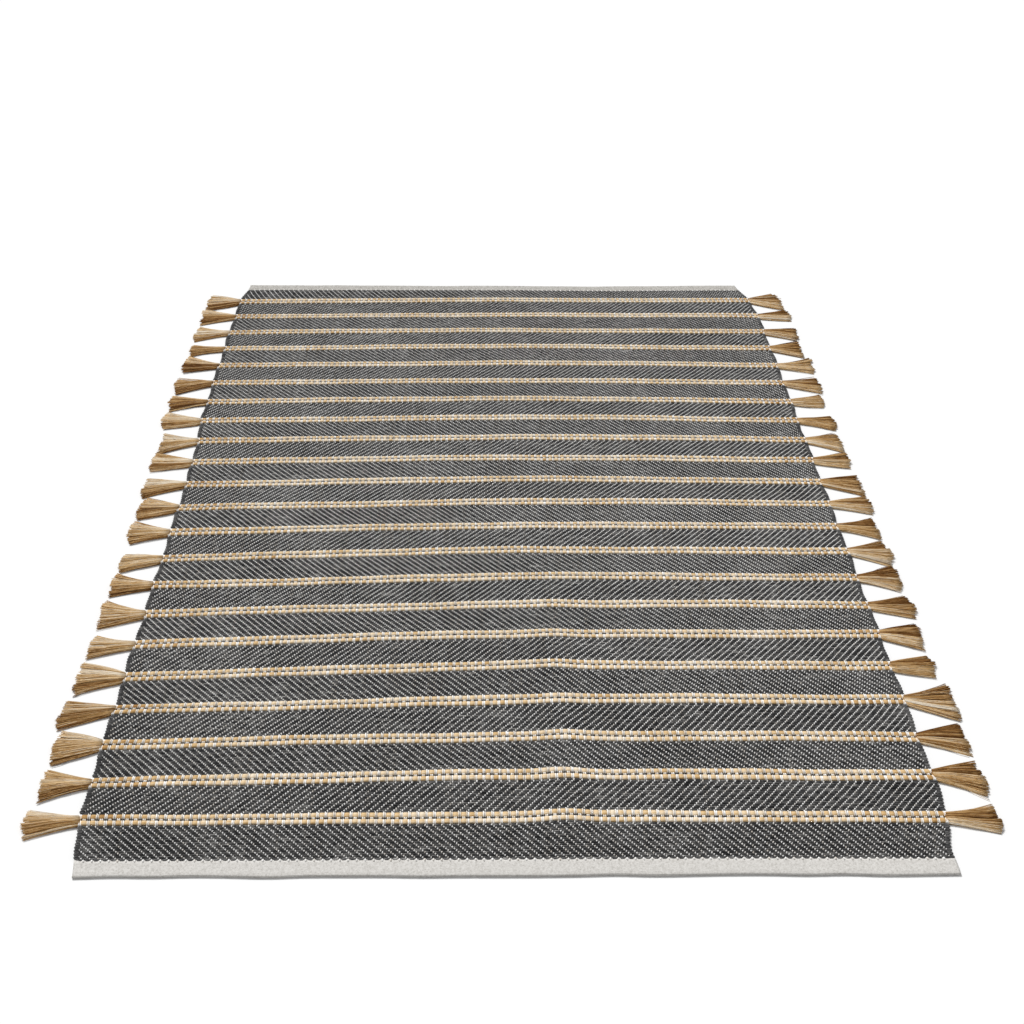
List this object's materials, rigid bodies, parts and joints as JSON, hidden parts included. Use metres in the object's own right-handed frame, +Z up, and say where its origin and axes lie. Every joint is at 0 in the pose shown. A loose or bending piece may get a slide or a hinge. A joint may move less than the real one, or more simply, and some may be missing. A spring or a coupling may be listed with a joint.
{
  "type": "area rug",
  "caption": "Flat-woven charcoal twill rug crossed by jute stripes that end in tassels, with folded cotton hems; it bends band by band and rolls up.",
  "frame": {"origin": "centre of the footprint, on the floor under the rug", "axes": "+Z up out of the top face; +Y along the rug from the near hem to the far hem; +X across it"},
  "size_m": [1.576, 2, 0.0084],
  "materials": {
    "charcoal_weave": "matt twill-woven cotton",
    "warp_cotton": "matt twisted cotton warp",
    "jute": "dry fibrous jute",
    "hem_cotton": "matt plain-woven cotton"
  },
  "bodies": {
    "near_end": {"hem_near": "hem_cotton", "cloth_near": "charcoal_weave"},
    "section_01": {"jute_stripe_01": "jute", "cloth_01": "charcoal_weave"},
    "section_02": {"jute_stripe_02": "jute", "cloth_02": "charcoal_weave"},
    "section_03": {"jute_stripe_03": "jute", "cloth_03": "charcoal_weave"},
    "section_04": {"jute_stripe_04": "jute", "cloth_04": "charcoal_weave"},
    "section_05": {"jute_stripe_05": "jute", "cloth_05": "charcoal_weave"},
    "section_06": {"jute_stripe_06": "jute", "cloth_06": "charcoal_weave"},
    "section_07": {"jute_stripe_07": "jute", "cloth_07": "charcoal_weave"},
    "section_08": {"jute_stripe_08": "jute", "cloth_08": "charcoal_weave"},
    "section_09": {"jute_stripe_09": "jute", "cloth_09": "charcoal_weave"},
    "section_10": {"jute_stripe_10": "jute", "cloth_10": "charcoal_weave"},
    "section_11": {"jute_stripe_11": "jute", "cloth_11": "charcoal_weave"},
    "section_12": {"jute_stripe_12": "jute", "cloth_12": "charcoal_weave"},
    "section_13": {"jute_stripe_13": "jute", "cloth_13": "charcoal_weave"},
    "section_14": {"jute_stripe_14": "jute", "cloth_14": "charcoal_weave"},
    "section_15": {"jute_stripe_15": "jute", "cloth_15": "charcoal_weave"},
    "section_16": {"jute_stripe_16": "jute", "cloth_16": "charcoal_weave"},
    "section_17": {"jute_stripe_17": "jute", "cloth_17": "charcoal_weave"},
    "section_18": {"jute_stripe_18": "jute", "cloth_18": "charcoal_weave"},
    "section_19": {"jute_stripe_19": "jute", "cloth_19": "charcoal_weave"},
    "section_20": {"jute_stripe_20": "jute", "cloth_20": "charcoal_weave"},
    "section_21": {"jute_stripe_21": "jute", "cloth_21": "charcoal_weave"},
    "section_22": {"jute_stripe_22": "jute", "cloth_22": "charcoal_weave"},
    "far_end": {"cloth_far": "charcoal_weave", "hem_far": "hem_cotton"}
  },
  "joints": [
    {"name": "bend_01", "type": "hinge", "parent": "near_end", "child": "section_01", "pos_m": [0, -0.93575, 0.0032], "axis": [1, 0, 0], "range_deg": [0, 28]},
    {"name": "bend_02", "type": "hinge", "parent": "section_01", "child": "section_02", "pos_m": [0, -0.845, 0.0032], "axis": [1, 0, 0], "range_deg": [0, 29]},
    {"name": "bend_03", "type": "hinge", "parent": "section_02", "child": "section_03", "pos_m": [0, -0.759, 0.0032], "axis": [1, 0, 0], "range_deg": [0, 30]},
    {"name": "bend_04", "type": "hinge", "parent": "section_03", "child": "section_04", "pos_m": [0, -0.673, 0.0032], "axis": [1, 0, 0], "range_deg": [0, 31]},
    {"name": "bend_05", "type": "hinge", "parent": "section_04", "child": "section_05", "pos_m": [0, -0.587, 0.0032], "axis": [1, 0, 0], "range_deg": [0, 32]},
    {"name": "bend_06", "type": "hinge", "parent": "section_05", "child": "section_06", "pos_m": [0, -0.501, 0.0032], "axis": [1, 0, 0], "range_deg": [0, 33]},
    {"name": "bend_07", "type": "hinge", "parent": "section_06", "child": "section_07", "pos_m": [0, -0.415, 0.0032], "axis": [1, 0, 0], "range_deg": [0, 34]},
    {"name": "bend_08", "type": "hinge", "parent": "section_07", "child": "section_08", "pos_m": [0, -0.329, 0.0032], "axis": [1, 0, 0], "range_deg": [0, 35]},
    {"name": "bend_09", "type": "hinge", "parent": "section_08", "child": "section_09", "pos_m": [0, -0.243, 0.0032], "axis": [1, 0, 0], "range_deg": [0, 36]},
    {"name": "bend_10", "type": "hinge", "parent": "section_09", "child": "section_10", "pos_m": [0, -0.157, 0.0032], "axis": [1, 0, 0], "range_deg": [0, 37]},
    {"name": "bend_11", "type": "hinge", "parent": "section_10", "child": "section_11", "pos_m": [0, -0.071, 0.0032], "axis": [1, 0, 0], "range_deg": [0, 38]},
    {"name": "bend_12", "type": "hinge", "parent": "section_11", "child": "section_12", "pos_m": [0, 0.015, 0.0032], "axis": [1, 0, 0], "range_deg": [0, 39]},
    {"name": "bend_13", "type": "hinge", "parent": "section_12", "child": "section_13", "pos_m": [0, 0.101, 0.0032], "axis": [1, 0, 0], "range_deg": [0, 40]},
    {"name": "bend_14", "type": "hinge", "parent": "section_13", "child": "section_14", "pos_m": [0, 0.187, 0.0032], "axis": [1, 0, 0], "range_deg": [0, 41]},
    {"name": "bend_15", "type": "hinge", "parent": "section_14", "child": "section_15", "pos_m": [0, 0.273, 0.0032], "axis": [1, 0, 0], "range_deg": [0, 42]},
    {"name": "bend_16", "type": "hinge", "parent": "section_15", "child": "section_16", "pos_m": [0, 0.359, 0.0032], "axis": [1, 0, 0], "range_deg": [0, 43]},
    {"name": "bend_17", "type": "hinge", "parent": "section_16", "child": "section_17", "pos_m": [0, 0.445, 0.0032], "axis": [1, 0, 0], "range_deg": [0, 44]},
    {"name": "bend_18", "type": "hinge", "parent": "section_17", "child": "section_18", "pos_m": [0, 0.531, 0.0032], "axis": [1, 0, 0], "range_deg": [0, 45]},
    {"name": "bend_19", "type": "hinge", "parent": "section_18", "child": "section_19", "pos_m": [0, 0.617, 0.0032], "axis": [1, 0, 0], "range_deg": [0, 46]},
    {"name": "bend_20", "type": "hinge", "parent": "section_19", "child": "section_20", "pos_m": [0, 0.703, 0.0032], "axis": [1, 0, 0], "range_deg": [0, 47]},
    {"name": "bend_21", "type": "hinge", "parent": "section_20", "child": "section_21", "pos_m": [0, 0.789, 0.0032], "axis": [1, 0, 0], "range_deg": [0, 48]},
    {"name": "bend_22", "type": "hinge", "parent": "section_21", "child": "section_22", "pos_m": [0, 0.875, 0.0032], "axis": [1, 0, 0], "range_deg": [0, 49]},
    {"name": "bend_23", "type": "hinge", "parent": "section_22", "child": "far_end", "pos_m": [0, 0.95075, 0.0032], "axis": [1, 0, 0], "range_deg": [0, 50]}
  ]
}
